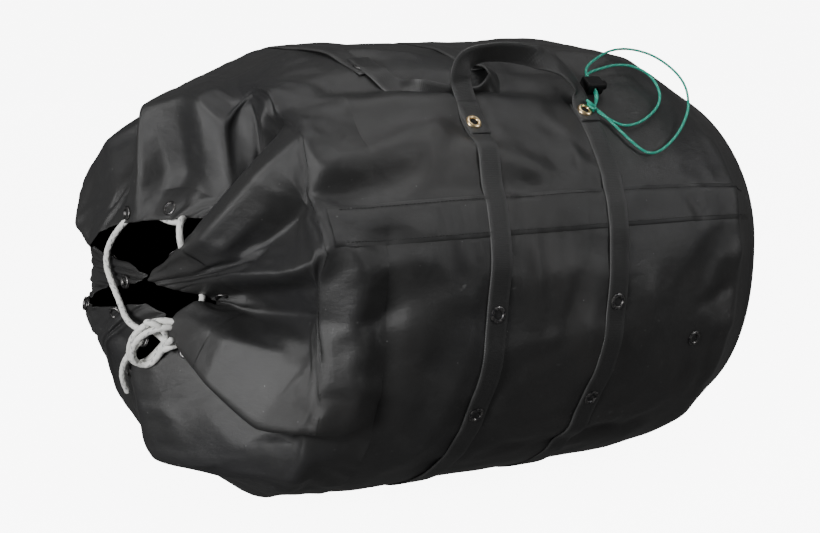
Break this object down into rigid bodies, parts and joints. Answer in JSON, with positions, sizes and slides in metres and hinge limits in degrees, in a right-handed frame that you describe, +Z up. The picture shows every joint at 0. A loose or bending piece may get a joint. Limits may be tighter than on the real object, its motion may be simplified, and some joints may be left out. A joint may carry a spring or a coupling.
{
  "type": "rope storage bag",
  "caption": "Large round rope bag in black coated fabric, lying on its side, with a drawcord mouth, strap bands, carry handles and a small cord lock.",
  "frame": {"origin": "bottom centre of the resting bag, without its cords", "axes": "+X from the gathered mouth to the closed base, -Y the near side with the lap seam, +Z up from the ground"},
  "size_m": [0.7318, 0.5516, 0.5107],
  "materials": {
    "coated_fabric": "satin black PVC-coated fabric with crease highlights and pale scuffs",
    "webbing": "smooth satin black strap with slightly paler edges",
    "brass": "bright rolled brass",
    "dark_metal": "blackened rolled metal, worn on the rims",
    "white_braid": "white braided cord with grey flecks",
    "teal_cord": "light teal thin braided cord",
    "black_plastic": "moulded black plastic",
    "spring_steel": "plain spring wire"
  },
  "bodies": {
    "bag": {"body_panel": "coated_fabric", "base_disc": "coated_fabric", "neck_skirt": "coated_fabric", "mouth_hem": "coated_fabric", "lap_seam": "coated_fabric", "strap_band_1": "webbing", "strap_band_2": "webbing", "brass_eyelet_near_1": "brass", "brass_eyelet_near_2": "brass", "brass_eyelet_far_1": "brass", "brass_eyelet_far_2": "brass", "dark_eyelets_band_1": "dark_metal", "dark_eyelets_band_2": "dark_metal", "vent_eyelet": "dark_metal", "hem_eyelets": "dark_metal", "hem_washers": "dark_metal", "drawcord": "white_braid", "drawcord_low_tail": "white_braid", "drawcord_cut_tail": "white_braid", "drawcord_knot": "white_braid", "lanyard_outer_loop": "teal_cord", "lanyard_inner_loop": "teal_cord", "lanyard_knot": "teal_cord", "cord_lock_body": "black_plastic", "cord_lock_spring": "spring_steel"},
    "near_handle": {"handle_near": "webbing"},
    "far_handle": {"handle_far": "webbing"},
    "lock_plunger": {"cord_lock_plunger": "black_plastic"}
  },
  "joints": [
    {"name": "near_handle_swing", "type": "hinge", "parent": "bag", "child": "near_handle", "pos_m": [0, -0.19058, 0.44325], "axis": [1, 0, 0], "range_deg": [-5, 92]},
    {"name": "far_handle_swing", "type": "hinge", "parent": "bag", "child": "far_handle", "pos_m": [0, -0.1446, 0.4723], "axis": [1, 0, 0], "range_deg": [-135, 0]},
    {"name": "cord_lock_press", "type": "slide", "parent": "bag", "child": "lock_plunger", "axis": [-1, 0, 0], "range_m": [0, 0.0025], "stiffness_N_per_m": 600, "springref_m": -0.004, "deforming": ["cord_lock_spring"]}
  ]
}
